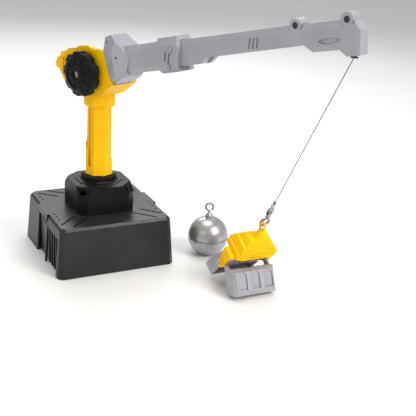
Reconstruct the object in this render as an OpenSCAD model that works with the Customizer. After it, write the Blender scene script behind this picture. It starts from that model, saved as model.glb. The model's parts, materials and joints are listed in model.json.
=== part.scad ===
// Toy tower crane with a clamshell grab and a wrecking ball.
// Origin: centre of the base's bottom face. +X along the base's front edge,
// -Y towards the front, +Z up. Millimetres.

/* [Base] */
// Half width of the base's top face
base_half = 66; // [62:0.5:70]
// Height of the base
base_h = 60; // [50:1:70]
// Draft of the base walls, in degrees
base_draft = 4; // [2:0.5:5]
// Half width of the pedestal
ped_half = 35; // [33:0.5:36]

/* [Column and head] */
// Rest angle of the boom about the column, in degrees from +X
slew_rest = -65; // [-75:1:-55]
// Half the distance across the flats of the column
col_a = 13.8; // [13.4:0.1:14.2]
// Height of the winch axis above the floor
winch_z = 225; // [222:1:228]
// Outer radius of the winding knob
knob_r = 25.5; // [24:0.5:26]

/* [Boom] */
// Upward tilt of the boom, in degrees
boom_tilt = 14.5; // [13:0.5:16]
// Half width of the outer boom section
boom_y = 8; // [7.6:0.1:8.2]

/* [Line and tools] */
// Length of the free line from the boom tip to the ferrule
line_len = 199.5; // [180:0.5:215]
// Radius of the line
line_r = 0.45; // [0.4:0.05:0.6]
// Half width of the grab's jaws
jaw_half = 27.5; // [24:0.5:28]
// Angle the near jaw stands open, in degrees
jaw_open = 52; // [20:1:55]
// Angle the far jaw stands open, in degrees
jaw_open_far = 14; // [10:1:55]
// Radius of the wrecking ball
ball_r = 25; // [22:0.5:26]

/* [Hidden] */
$fn = 48;
e = 0.01;
base_low = base_half + 2.2 + (base_h - 3) * tan(base_draft);
// boom frame: u along the boom, w up across it
function bu(x, z) = x * cos(boom_tilt) + (z - winch_z) * sin(boom_tilt);
function bw(x, z) = -x * sin(boom_tilt) + (z - winch_z) * cos(boom_tilt);
// where the line leaves the tip, in the head's own frame
exit_x = 323.3;
exit_z = 293.8;
tip = [exit_x * cos(slew_rest), exit_x * sin(slew_rest), exit_z];
// the line's direction at rest
line_az = 96;
line_tilt = 28.2;
grab_turn = -4;
grab_s = 294;
ball_pos = [124.5, -57, 0];

// ---------- helpers ----------
module headf() rotate([0, 0, slew_rest]) children();
module boomf() headf() translate([0, 0, winch_z]) rotate([0, -boom_tilt, 0]) children();
module linef() translate(tip) rotate([0, 0, line_az]) rotate([0, -line_tilt, 0]) children();
module hookf() linef() translate([0, 0, -line_len]) rotate([0, 0, grab_turn]) children();
module grabf() linef() translate([0, 0, -grab_s]) rotate([0, 0, grab_turn]) children();
// polygon in XZ extruded along Y
module exY(pts, y0, y1) rotate([90, 0, 0]) translate([0, 0, -y1]) linear_extrude(height = y1 - y0) polygon(pts);
// polygon in YZ extruded along X
module exX(pts, x0, x1) translate([x0, 0, 0]) rotate([90, 0, 90]) linear_extrude(height = x1 - x0) polygon(pts);
// square with cut corners
function sq8(h, c) = [[h, -h + c], [h, h - c], [h - c, h], [-h + c, h], [-h, h - c], [-h, -h + c], [-h + c, -h], [h - c, -h]];
// octagonal prism, flats facing X and Y
module octa(a, z0, z1, a2 = -1) translate([0, 0, z0]) rotate([0, 0, 22.5])
    cylinder(h = z1 - z0, r1 = a / cos(22.5), r2 = (a2 < 0 ? a : a2) / cos(22.5), $fn = 8);
// flat slot between two points, cut from z0 up to z1
module slotc(p, q, r, z0, z1) {
    d = [q[0] - p[0], q[1] - p[1]];
    l = norm(d);
    translate([p[0], p[1], z0]) rotate([0, 0, atan2(d[1], d[0])]) {
        cylinder(r = r, h = z1 - z0, $fn = 24);
        translate([l, 0, 0]) cylinder(r = r, h = z1 - z0, $fn = 24);
        translate([0, -r, 0]) cube([l, 2 * r, z1 - z0]);
    }
}
// cylinder along +Y from y0 to y1
module cy(r, y0, y1, fn = 32) translate([0, y0, 0]) rotate([-90, 0, 0]) cylinder(r = r, h = y1 - y0, $fn = fn);
// stadium along Z, cut along Y
module stadY(x, z0, z1, r, y0, y1) {
    translate([x, 0, z0 + r]) cy(r, y0, y1, 20);
    translate([x, 0, z1 - r]) cy(r, y0, y1, 20);
    translate([x - r, y0, z0 + r]) cube([2 * r, y1 - y0, z1 - z0 - 2 * r]);
}
// slot between two points of the XZ plane, cut along Y
module slotY(p, q, r, y0, y1) {
    d = [q[0] - p[0], q[1] - p[1]];
    translate([p[0], 0, p[1]]) rotate([0, -atan2(d[1], d[0]), 0]) {
        cy(r, y0, y1, 20);
        translate([norm(d), 0, 0]) cy(r, y0, y1, 20);
        translate([0, y0, -r]) cube([norm(d), y1 - y0, 2 * r]);
    }
}
// pan-head screw pointing up from z = 0, head below
module screw(l, r = 1.4, hr = 2.8, hh = 1.8) {
    difference() {
        union() {
            cylinder(r = r, h = l, $fn = 24);
            translate([0, 0, -hh]) cylinder(r = hr, h = hh, $fn = 28);
        }
        for (a = [0, 90]) rotate([0, 0, a]) translate([-hr * 0.65, -0.4, -hh - e]) cube([hr * 1.3, 0.8, 0.9]);
    }
}

// ---------- base ----------
boss_xy = [[-52, -52], [52, -52], [52, 52], [-52, 52]];
pedscrew_xy = [[-25, -25], [25, -25], [25, 25], [-25, 25]];

module base_outer() {
    linear_extrude(height = base_h - 3, scale = (base_half + 2.2) / base_low) polygon(sq8(base_low, 5));
    translate([0, 0, base_h - 3]) linear_extrude(height = 3, scale = base_half / (base_half + 2.2)) polygon(sq8(base_half + 2.2, 5));
}
module base_shell() {
    color([0.12, 0.12, 0.13]) difference() {
        union() {
            difference() {
                base_outer();
                translate([0, 0, -e]) linear_extrude(height = base_h - 3 + e, scale = (base_half - 0.4) / (base_low - 2.6)) polygon(sq8(base_low - 2.6, 4));
                // side recesses below the tabs and the ribbed panels in front of them
                for (s = [-1, 1]) {
                    translate([s > 0 ? base_half + 0.8 : -base_half - 20.8, -14, -e]) cube([20, 34, base_h - 8]);
                    translate([s > 0 ? base_half + 1.2 : -base_half - 21.2, -59, -e]) cube([20, 43, base_h - 14]);
                }
            }
            // inner skins behind the side recesses
            for (s = [-1, 1]) translate([s > 0 ? base_half - 1.6 : -base_half - 1.2, -61, 0.8]) cube([2.8, 83, base_h - 3]);
            // ribs standing on the side panels
            for (s = [-1, 1], i = [0 : 3]) translate([s * (base_half + 1.9), -50 + i * 9.5, (base_h - 14) / 2 + 0.9]) cube([1.6, 2.2, base_h - 15], center = true);
            // tabs on the top edge
            for (s = [-1, 1]) translate([s > 0 ? base_half - 2 : -base_half - 3.4, -16, base_h - 8]) cube([5.4, 38, 8]);
            for (p = boss_xy) translate([p[0], p[1], 3.2]) cylinder(r = 4.2, h = base_h - 5, $fn = 32);
        }
        // mouth under the pedestal
        translate([0, 0, base_h - 5]) cylinder(r = 19, h = 10, $fn = 64);
        // screw holes
        for (p = boss_xy) translate([p[0], p[1], -e]) cylinder(r = 1.45, h = 22, $fn = 24);
        for (p = pedscrew_xy) translate([p[0], p[1], base_h - 6]) cylinder(r = 1.6, h = 10, $fn = 24);
        // pairs of diagonal grooves
        for (sx = [-1, 1]) {
            slotc([sx * 42, -32], [sx * 61, -51], 1.3, base_h - 1.1, base_h + 1);
            slotc([sx * 30, -41], [sx * 51, -62], 1.3, base_h - 1.1, base_h + 1);
            slotc([sx * 46, 62], [sx * 29, 48], 1.3, base_h - 1.1, base_h + 1);
            slotc([sx * 59, 56], [sx * 40, 40], 1.3, base_h - 1.1, base_h + 1);
            // rivet dimples
            for (y = [35, 45, -17, -26, -36]) translate([sx * 60.5, y, base_h - 0.9]) cylinder(r = 1.5, h = 2, $fn = 20);
        }
    }
}
module base_floor() {
    color([0.12, 0.12, 0.13]) difference() {
        union() {
            linear_extrude(height = 2.4) polygon(sq8(base_half - 2.1, 6));
            for (a = [0, 90]) rotate([0, 0, a]) translate([-40, -1.5, 2.4 - e]) cube([80, 3, 3]);
        }
        for (p = boss_xy) translate([p[0], p[1], -e]) {
            cylinder(r = 1.6, h = 5, $fn = 24);
            cylinder(r = 3.2, h = 1.4, $fn = 28);
        }
        for (i = [-2 : 2]) translate([i * 12, -30, -e]) cylinder(r = 2.5, h = 6, $fn = 24);
    }
}
module floor_screws() color("silver") for (p = boss_xy) translate([p[0], p[1], 1.35]) screw(16, 1.4, 2.9, 1.1);

module pedestal() {
    color([0.12, 0.12, 0.13]) difference() {
        union() {
            difference() {
                union() {
                    translate([0, 0, base_h]) linear_extrude(height = 22) polygon(sq8(ped_half, 9));
                    hull() {
                        translate([0, 0, base_h + 22 - e]) linear_extrude(height = e) polygon(sq8(ped_half, 9));
                        translate([0, 0, base_h + 32.5]) linear_extrude(height = 0.5) polygon(sq8(ped_half - 0.8, 17.2));
                    }
                }
                translate([0, 0, base_h - e]) linear_extrude(height = 22) polygon(sq8(ped_half - 2.8, 8));
                hull() {
                    translate([0, 0, base_h + 21]) linear_extrude(height = 0.5) polygon(sq8(ped_half - 2.8, 8));
                    translate([0, 0, base_h + 29]) linear_extrude(height = 0.5) polygon(sq8(ped_half - 3.6, 15.5));
                }
            }
            // stepped crown that carries the collar
            octa(28, base_h + 32, base_h + 34, 26.5);
            // ridges low on each face, frames on the sloped corners
            for (a = [0 : 90 : 270]) rotate([0, 0, a]) {
                translate([-24, -ped_half - 0.6, base_h + 6.6]) cube([48, 2, 1.1]);
                translate([-24, -ped_half - 0.6, base_h + 9.6]) cube([48, 2, 1.1]);
                rotate([0, 0, 45]) translate([40.2, 0, base_h + 27]) rotate([0, -28.5, 0]) difference() {
                    cube([2.6, 12, 9.5], center = true);
                    translate([1.3, 0, 0]) cube([1.4, 8.5, 6.2], center = true);
                }
            }
            // guide tube and screw bosses
            translate([0, 0, base_h + 14]) cylinder(r = 16.2, h = 17, $fn = 64);
            for (p = pedscrew_xy) translate([p[0], p[1], base_h + 0.02]) cylinder(r = 3.6, h = 26, $fn = 28);
        }
        translate([0, 0, base_h + 13]) cylinder(r = 13.3, h = 30, $fn = 64);
        for (p = pedscrew_xy) translate([p[0], p[1], base_h - e]) cylinder(r = 1.45, h = 12, $fn = 24);
    }
}
module pedestal_screws() color("silver") for (p = pedscrew_xy) translate([p[0], p[1], base_h - 3.05]) screw(12, 1.4, 2.8, 1.6);

module slew_collar() {
    color([0.12, 0.12, 0.13]) difference() {
        union() {
            octa(21.6, base_h + 34, base_h + 35.4, 20.6);
            octa(19.8, base_h + 35.4 - e, base_h + 39.5, 19.6);
            octa(19.6, base_h + 39.5 - e, base_h + 41, 17.6);
        }
        translate([0, 0, base_h + 33]) cylinder(r = 13.05, h = 20, $fn = 64);
    }
}

// ---------- column ----------
module column() {
    color([1, 0.78, 0]) headf() difference() {
        union() {
            octa(col_a + 0.7, 101.6, 200, col_a);
            // lower sleeve with a slanted top edge
            difference() {
                octa(col_a + 1.9, 101.6, 142);
                translate([0, 0, 126]) rotate([0, 0, 22]) rotate([0, 40, 0]) translate([-60, -60, 0]) cube([120, 120, 60]);
            }
            translate([0, 0, 75]) cylinder(r = 13, h = 27, $fn = 64);
        }
        translate([0, 0, 79]) cylinder(r = 10.4, h = 140, $fn = 48);
        translate([0, 0, 70]) cylinder(r = 1.6, h = 20, $fn = 24);
        // vertical channels in the two side faces
        for (s = [-1, 1]) stadY(0, 111, 183, 3.1, s > 0 ? col_a - 1.1 : -col_a - 4, s > 0 ? col_a + 4 : -col_a + 1.1);
        // hole for the head screw
        translate([0, 0, 193]) cy(1.6, 8, 20, 24);
    }
}
module slew_washer() {
    color("silver") difference() {
        translate([0, 0, 72.8]) cylinder(r = 15.6, h = 1.0, $fn = 64);
        translate([0, 0, 70]) cylinder(r = 1.6, h = 6, $fn = 24);
    }
    color([0.12, 0.12, 0.13]) translate([0, 0, 73.79]) difference() {
        cylinder(r = 9, h = 1.19, $fn = 48);
        translate([0, 0, -1]) cylinder(r = 1.6, h = 6, $fn = 24);
    }
}
module slew_screw() color("silver") translate([0, 0, 72.78]) screw(9, 1.5, 3.2, 1.8);

// ---------- head ----------
// core of the head, and the stepped cheek plate on its near side
head_out = [[-18.2, 200], [-25, 206], [-29, 214], [-30, 225], [-27, 236], [-18, 243], [-6, 246], [6, 246], [16, 244.6],
    [27.5, 245.8], [38.7, 217.4], [40, 217.3], [33, 211.8], [25.7, 205.6], [18.2, 200]];
head_in = [[-15.4, 202.4], [-22.6, 207.6], [-26.2, 215], [-27.1, 225], [-24.6, 234.2], [-16.6, 240.5], [-5.6, 243.2],
    [6, 243.2], [16, 241.7], [25.5, 242.8], [35.4, 217.6], [24.2, 208.4], [15.4, 202.4]];
cheek_out = [[-18.2, 200], [-29, 203], [-40, 212], [-45, 219.8], [-48.6, 225.4], [-49.6, 229.8], [-46.8, 234.6], [-42.6, 238.4], [-40.8, 242.6],
    [-32.2, 245.2], [-29.6, 248.2], [-15, 251.2], [-12.8, 253.8], [2, 256.2], [12.6, 253], [16, 254.6], [24.1, 254.1], [38.7, 217.4], [33, 211.8], [18.2, 200]];
// raised pads along the cheek's rim
head_steps = [[[-41.5, 221.6], [-50, 224], [-51.2, 229.5], [-48, 235], [-44, 238], [-38, 234]],
    [[-39.4, 235.6], [-43.1, 238.8], [-41.2, 243], [-33.6, 245.4], [-31, 241.2]],
    [[-30.6, 241.4], [-32.6, 245.4], [-29.8, 248.5], [-16, 251.5], [-15.4, 246.8]],
    [[-14.6, 246.9], [-14.8, 251.7], [-12.8, 254.1], [1.9, 256.5], [8.6, 254.4], [8, 250]]];
module head_solid() {
    exY(head_out, -20.5, 20.5);
    exY(cheek_out, -20.5, -15);
    for (p = head_steps) exY(p, -22, -15);
    octa(18, 187.5, 200.5);
    octa(16.4, 185, 187.6, 18);
    // bosses for the winch shaft
    translate([0, 0, winch_z]) cy(9, -24, -14);
    translate([0, 0, winch_z]) cy(7, 14, 22);
}
module head_cavity() {
    exY(head_in, -17.8, 17.8);
    octa(14.15, 180, 201);
    translate([0, 0, 0]) octa(15.4, 200, 203);
}
head_screw_xz = [[-21, 210.5], [-14, 236.6], [27.4, 215.6]];
module head_inside() {
    // bosses that join the two shells
    for (p = head_screw_xz) translate([p[0], 0, p[1]]) cy(3.6, -18, 18, 28);
    translate([0, 0, winch_z]) { cy(5.2, -18, -13.2); cy(5.2, 13.2, 18); }
    // posts that grip the click spring
    translate([-26.8, -18, 214.6]) cube([4.58, 8.3, 6]);
    translate([-21.68, -18, 214.6]) cube([2.2, 8.3, 6]);
}
module head_half(s) {
    difference() {
        union() {
            difference() { head_solid(); head_cavity(); }
            head_inside();
        }
        translate([0, 0, winch_z]) cy(3.07, -30, 30);
        for (p = head_screw_xz) translate([p[0], 0, p[1]]) {
            cy(1.45, -16, 30, 24);
            cy(3.1, 14, 30, 28);
        }
        // column screw
        translate([0, 0, 193]) { cy(1.6, 10, 30, 24); cy(3.1, 15.6, 30, 28); }
        // line outlet into the boom
        translate([20, -6, 228]) cube([30, 12, 15]);
        // flange screws
        translate([0, 0, winch_z]) rotate([0, -boom_tilt, 0]) for (q = root_yw) translate([24, q[0], q[1]]) rotate([0, 90, 0]) cylinder(r = 1.6, h = 16, $fn = 24);
        translate([-80, s > 0 ? -59.99 : -0.01, 150]) cube([200, 60, 150]);
    }
}
module head_shell_near() color([1, 0.78, 0]) headf() head_half(-1);
module head_shell_far() color([1, 0.78, 0]) headf() head_half(1);
module head_screws() color("silver") headf() {
    for (p = head_screw_xz) translate([p[0], 14.02, p[1]]) rotate([90, 0, 0]) screw(24, 1.4, 2.8, 1.6);
    translate([0, 15.65, 193]) rotate([90, 0, 0]) screw(4.6, 1.45, 2.8, 1.6);
}

// ---------- boom ----------
// screws that pull the flange onto the head: y, w, and the seat of the screw head
root_yw = [[-11, 0, 30.1], [11, 0, 30.1], [0, -9.4, 31.3]];
flange_side = [[30.9, 22.3], [33.4, 36.1], [43, 37.6], [55.8, 19.2], [62.6, 12.4], [53.1, -9.8], [36, -17.2]];
flange_end = [[-15, -18], [13, -18], [18, -9], [18, 19], [7.6, 38], [-15, 38], [-20, 19], [-20, -9]];
inner_sec = [[-9.5, -6.9], [9.5, -6.9], [12, -2.4], [12, 15.8], [8, 23.2], [-8, 23.2], [-12, 15.8], [-12, -2.4]];
inner_sec_in = [[-8, -4.7], [8, -4.7], [9.8, -1.4], [9.8, 15], [6.6, 21], [-6.6, 21], [-9.8, 15], [-9.8, -1.4]];
collar_sec = [[-12.5, -10.4], [12.5, -10.4], [14.6, -8], [14.6, 17.5], [9.6, 26.6], [-9.6, 26.6], [-14.6, 17.5], [-14.6, -8]];
collar_sec_in = [[-9.7, -7.1], [9.7, -7.1], [12.2, -2.5], [12.2, 16], [8.1, 23.4], [-8.1, 23.4], [-12.2, 16], [-12.2, -2.5]];
// through bolts of the collar: one locks each section
bolt_uw = [[119.2, -4.4], [124.8, 13.3]];
module boom_root() {
    color([0.6, 0.6, 0.62]) boomf() difference() {
        union() {
            intersection() {
                exY(flange_side, -20, 20);
                exX(flange_end, 20, 70);
                translate([0, 0, -30]) linear_extrude(height = 80) polygon([[30, -20], [43, -20], [58, -12.6], [63, -12], [63, 12], [58, 12.6], [43, 18], [30, 18]]);
            }
            exX(inner_sec, 46, 121.5);
        }
        difference() {
            exX(inner_sec_in, 20, 140);
            translate([30, -20, -20]) cube([6.5, 40, 60]);
        }
        // line passage and screw holes in the flange plate
        translate([28, -6, 2]) cube([12, 12, 14]);
        for (q = root_yw) translate([24, q[0], q[1]]) rotate([0, 90, 0]) cylinder(r = 1.45, h = 17.5, $fn = 24);
        // bore for the lower collar bolt
        translate([bolt_uw[0][0], 0, bolt_uw[0][1]]) cy(1.5, -20, 20, 24);
        // dimples on the near face
        translate([36.6, 0, 30.2]) cy(1.3, -30, -16, 20);
        translate([47.1, 0, 12.1]) cy(1.3, -30, -17, 20);
    }
}
module root_screws() color("silver") boomf()
    for (q = root_yw) translate([q[2], q[0], q[1]]) rotate([0, 90, 0]) screw(9, 1.4, 2.7, 1.4);

module boom_collar_solid() {
    difference() {
        intersection() {
            exX(collar_sec, 104, 142);
            exY([[105, 30], [132, 30], [132.6, 26.6], [135, 15], [128.6, -5.1], [130.6, -9.4], [130.2, -12], [110, -12], [105, -5]], -20, 20);
        }
        exX(collar_sec_in, 100, 121.7);
        exX([[-8.2, -5.7], [8.2, -5.7], [8.2, 18.4], [6.4, 21.9], [-6.4, 21.9], [-8.2, 18.4]], 121.6, 160);
        // mouth flares out round the outer section
        translate([133.6, 0, 0]) rotate([0, 18.6, 0]) translate([-1.6, -11.4, -8.4]) cube([20, 22.8, 28]);
        // two leaning slots and the bolt holes
        for (s = [-1, 1]) {
            slotY([115.8, 3.1], [117.9, 10.1], 1.3, s > 0 ? 13.6 : -20, s > 0 ? 20 : -13.6);
            slotY([120.3, 0.9], [123.2, 9.2], 1.3, s > 0 ? 13.6 : -20, s > 0 ? 20 : -13.6);
        }
        for (q = bolt_uw) translate([q[0], 0, q[1]]) cy(1.5, -20, 20, 24);
    }
    // bosses for the bolts
    for (s = [-1, 1]) difference() {
        for (q = bolt_uw) translate([q[0], 0, q[1]]) cy(3.5, s > 0 ? 13.4 : -15.2, s > 0 ? 15.2 : -13.4, 28);
        for (q = bolt_uw) translate([q[0], 0, q[1]]) cy(1.5, -20, 20, 24);
    }
}
module boom_collar_near() color([0.6, 0.6, 0.62]) boomf() difference() {
    boom_collar_solid();
    translate([90, -0.01, -40]) cube([80, 40, 90]);
}
module boom_collar_far() color([0.6, 0.6, 0.62]) boomf() difference() {
    boom_collar_solid();
    translate([90, -39.99, -40]) cube([80, 40, 90]);
}
module collar_bolts() color("silver") boomf() for (q = bolt_uw) translate([q[0], -15.22, q[1]]) {
    rotate([-90, 0, 0]) screw(30.6, 1.45, 2.7, 1.4);
    translate([0, 30.45, 0]) rotate([-90, 0, 0]) cylinder(r = 2.7, h = 1.8, $fn = 6);
}

outer_side = [[121.9, -5.4], [159.7, -4.9], [166.3, 0.6], [283.5, 1.2], [292.5, -5.9], [320.5, -6.6], [326.7, -12.9], [339.6, -13.6],
    [342.8, 8.4], [336.3, 19.2], [280, 20.8], [121.9, 21.7]];
outer_side_in = [[115, -3.4], [158.9, -2.9], [165.5, 2.6], [284.3, 3.2], [293.2, -3.9], [319.7, -4.6], [325.9, -10.9], [337.6, -11.6],
    [340.6, 7.6], [335, 17.2], [280, 18.8], [115, 19.7]];
outer_sec_in = [[-boom_y + 2, -14], [boom_y - 2, -14], [boom_y - 2, 12.4], [3.2, 18.4], [-3.2, 18.4], [-boom_y + 2, 12.4]];
eyelets = [[276.3, 20.1], [330.5, 19.3]];
root_lock = [150, 0.8];
module boom_outer_solid() {
    difference() {
        union() {
            difference() {
                intersection() {
                    exY(outer_side, -12, 12);
                    // the side faces get lower towards the tip as the top bevels widen
                    translate([143, 0, 17.6]) rotate([0, 1.3, 0]) exX([[-boom_y, -50], [boom_y, -50], [boom_y, 0], [0, 17], [-boom_y, 0]], -40, 215);
                    // plan outline, with the faceted nose
                    translate([0, 0, -30]) linear_extrude(height = 80) polygon([[120, -boom_y], [337, -boom_y], [343.5, -6.8], [343.5, 6.4], [336, boom_y], [120, boom_y]]);
                }
                intersection() {
                    exY(outer_side_in, -12, 12);
                    exX(outer_sec_in, 110, 346);
                }
            }
            // screw bosses on the top edge
            for (p = eyelets) translate([p[0], 0, p[1]]) cy(6.4, -7.6, 7.6, 40);
            // lug under the root
            exY([[152, -5], [162, -5.4], [171.5, 0.7], [171.5, 3], [152, 3]], 1.5, 7.4);
            // boss for the root screw and the tip pin
            translate([root_lock[0], 0, root_lock[1]]) cy(3.9, -7, 7, 28);
            translate([bu(319, 311), 0, bw(319, 311)]) { cy(4, -7, -5.2, 28); cy(4, 5.2, 7, 28); }
        }
        for (p = eyelets) translate([p[0], 0, p[1]]) { cy(1.45, -8, 5.5, 24); cy(3.2, -20, -5.4, 28); }
        translate([root_lock[0], 0, root_lock[1]]) { cy(1.45, -5.6, 20, 24); cy(3.0, 5.6, 20, 28); }
        translate([bu(319, 311), 0, bw(319, 311)]) cy(1.53, -7.2, 7.2, 24);
        // bore for the upper collar bolt
        translate([bolt_uw[1][0], 0, bolt_uw[1][1]]) cy(1.5, -20, 20, 24);
        // mouth for the line guide
        translate([bu(exit_x, exit_z), 0, bw(exit_x, exit_z)]) rotate([0, boom_tilt, 0]) translate([0, 0, -6]) cylinder(r = 2.55, h = 14, $fn = 32);
        // three leaning grooves and the leaf-shaped recess on both sides
        for (s = [-1, 1]) {
            slotY([221.4, 5.1], [223.8, 13], 1.2, s > 0 ? boom_y - 0.8 : -20, s > 0 ? 20 : -boom_y + 0.8);
            slotY([226, 4.7], [228.3, 12.5], 1.2, s > 0 ? boom_y - 0.8 : -20, s > 0 ? 20 : -boom_y + 0.8);
            slotY([230.9, 4.6], [233, 12.6], 1.2, s > 0 ? boom_y - 0.8 : -20, s > 0 ? 20 : -boom_y + 0.8);
            exY([[299.3, 3], [302, 1.3], [306, -0.1], [310.2, -0.6], [315, -0.2], [319.4, 1], [323.1, 2.7], [319.4, 4.3], [311.5, 5.4], [303.2, 4.5]],
                s > 0 ? boom_y - 0.9 : -20, s > 0 ? 20 : -boom_y + 0.9);
        }
    }
}
module boom_shell_near() color([0.6, 0.6, 0.62]) boomf() difference() {
    boom_outer_solid();
    translate([100, -0.01, -40]) cube([270, 40, 90]);
}
module boom_shell_far() color([0.6, 0.6, 0.62]) boomf() difference() {
    boom_outer_solid();
    translate([100, -39.99, -40]) cube([270, 40, 90]);
}
module boom_screws() color("silver") boomf() {
    for (p = eyelets) translate([p[0], -5.42, p[1]]) rotate([-90, 0, 0]) screw(10, 1.4, 2.9, 1.8);
    translate([root_lock[0], 5.62, root_lock[1]]) rotate([90, 0, 0]) screw(10.4, 1.4, 2.8, 1.6);
}
module line_guide() color([0.35, 0.35, 0.37]) headf() translate([exit_x, 0, exit_z]) difference() {
    union() {
        cylinder(r = 2.5, h = 3.6, $fn = 32);
        translate([0, 0, -0.9]) cylinder(r = 3.6, h = 0.9, $fn = 32);
    }
    translate([0, 0, -2]) cylinder(r = 1.1, h = 8, $fn = 24);
}
module tip_pin() color("silver") headf() translate([319, 0, 311]) cy(1.5, -7.1, 7.1, 24);
module tip_roller() color([0.3, 0.3, 0.32]) headf() translate([319, 0, 311]) rotate([90, 0, 0]) rotate_extrude($fn = 48)
    polygon([[1.56, -4.6], [5, -4.6], [5, -3.2], [3.4, -1], [3.4, 1], [5, 3.2], [5, 4.6], [1.56, 4.6]]);
module rod(p, q, r) {
    d = q - p;
    translate(p) rotate([0, acos(d[2] / norm(d)), atan2(d[1], d[0])]) cylinder(r = r, h = norm(d), $fn = 16);
}
module line_inner() color([0.3, 0.3, 0.32]) headf() {
    pts = [[0.6, 0, winch_z + 9.3], [318.2, 0, 315.4], [320.8, 0, 315.1], [322.7, 0, 313.6], [exit_x, 0, 311.6], [exit_x, 0, exit_z + 0.1]];
    for (i = [0 : 4]) rod(pts[i], i == 4 ? pts[5] : pts[i + 1] + (pts[i + 1] - pts[i]) / norm(pts[i + 1] - pts[i]) * 0.25, line_r);
}

// ---------- winch ----------
module winchf() headf() translate([0, 0, winch_z]) children();
function lobe(i, n, r) = [for (k = [0 : 3]) let (a = (i + [0.08, 0.2, 0.72, 0.84][k]) * 360 / n, q = [r - 1.9, r, r, r - 1.9][k]) [q * cos(a), q * sin(a)]];
function lobes(n, r) = [for (i = [0 : n - 1]) each lobe(i, n, r)];
module winding_knob() {
    color([0.12, 0.12, 0.13]) winchf() difference() {
        union() {
            translate([0, -24.6, 0]) rotate([90, 0, 0]) linear_extrude(height = 9.4) polygon(lobes(9, knob_r));
            translate([0, -33.98, 0]) rotate([90, 0, 0]) cylinder(r1 = knob_r - 2.4, r2 = knob_r - 8.5, h = 3.6, $fn = 54);
            translate([0, -37.5, 0]) rotate([90, 0, 0]) cylinder(r1 = 9.6, r2 = 8.6, h = 1.6, $fn = 40);
        }
        cy(3.03, -33, -20);
        cy(4.1, -60, -35.2);
        cy(1.6, -40, -30, 24);
        // radial grooves across the cone
        for (i = [0 : 8]) rotate([0, i * 40 + 18.5, 0]) translate([11, -38.4, -0.7]) cube([14, 2.0, 1.4]);
        // hollow back
        difference() { cy(20, -29, -20, 54); cy(7.4, -30, -20); }
    }
}
module winch_shaft() color("silver") winchf() difference() {
    cy(3, -32.9, 21.5);
    cy(1.25, -40, -24, 20);
}
module knob_screw() color("silver") winchf() translate([0, -35.22, 0]) rotate([-90, 0, 0]) screw(9.5, 1.2, 3.4, 1.6);
module winch_drum() color([0.12, 0.12, 0.13]) winchf() difference() {
    rotate([90, 0, 0]) rotate_extrude($fn = 48) polygon([[3.03, -6.5], [13, -6.5], [13, -5.1], [7, -4.3], [7, 4.3], [13, 5.1], [13, 6.5], [3.03, 6.5]]);
}
module line_winding() color([0.3, 0.3, 0.32]) winchf() rotate([90, 0, 0]) rotate_extrude($fn = 48)
    polygon(concat([[7.02, -4], [7.02, 4]], [for (i = [8 : -1 : -8]) [8.1 + (abs(i) % 2 == 0 ? 0.45 : 0), i * 0.5]]));
module click_wheel() color([0.85, 0.85, 0.82]) winchf() difference() {
    translate([0, -8.9, 0]) rotate([-90, 0, 0]) linear_extrude(height = 2.2) polygon([for (i = [0 : 35]) let (r = i % 3 == 0 ? 11.4 : 9.6) [r * cos(i * 10), r * sin(i * 10)]]);
    cy(3.03, -20, 20);
}
module click_spring() color("silver") headf() {
    translate([-22.2, -10.4, 217]) cube([0.5, 3.7, 11.4]);
    translate([-22.2, -10.4, 228.2]) rotate([0, 80, 0]) cube([0.5, 3.7, 11]);
    translate([-22.2, -17.7, 217]) cube([0.5, 8, 3.4]);
}

// ---------- line, ferrule and hook ----------
module hoist_line() color([0.3, 0.3, 0.32]) linef() translate([0, 0, -line_len - 1.5]) cylinder(r = line_r, h = line_len + 1.4, $fn = 12);
module line_ferrule() color("silver") hookf() {
    difference() {
        union() {
            rotate_extrude($fn = 32) polygon([[0.47, 0], [1.5, 0], [2.2, -0.6], [2.2, -3.6], [1.6, -4.2], [1.6, -6], [0.47, -6]]);
            translate([0, 0, -8.4]) cylinder(r = 2.7, h = 2.41, $fn = 32);
        }
        translate([0, 0, -6.5]) cylinder(r = 0.47, h = 8, $fn = 16);
    }
}
module arcring(R, r, a0, a1, fn = 24) rotate([90, 0, 0]) rotate([0, 0, a0]) rotate_extrude(angle = a1 - a0, $fn = 40) translate([R, 0]) circle(r = r, $fn = fn);
hook_c = -28.5;
module swivel_hook() color([0.72, 0.72, 0.74]) hookf() {
    difference() {
        union() {
            translate([0, 0, -8.5 - 11.4]) cylinder(r1 = 2.4, r2 = 3.5, h = 11.4, $fn = 32);
        }
        translate([-5, 1.9, -17]) cube([10, 5, 6]);
        translate([-5, -6.9, -17]) cube([10, 5, 6]);
    }
    translate([0, 0, hook_c]) {
        rotate([0, 0, 90]) arcring(5.2, 1.5, -5, 145);
        rotate([0, 0, 90]) arcring(5.2, 1.5, 144, 295);
        translate([0, 0, 5.1]) cylinder(r = 1.6, h = 3.8, $fn = 24);
    }
}

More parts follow.
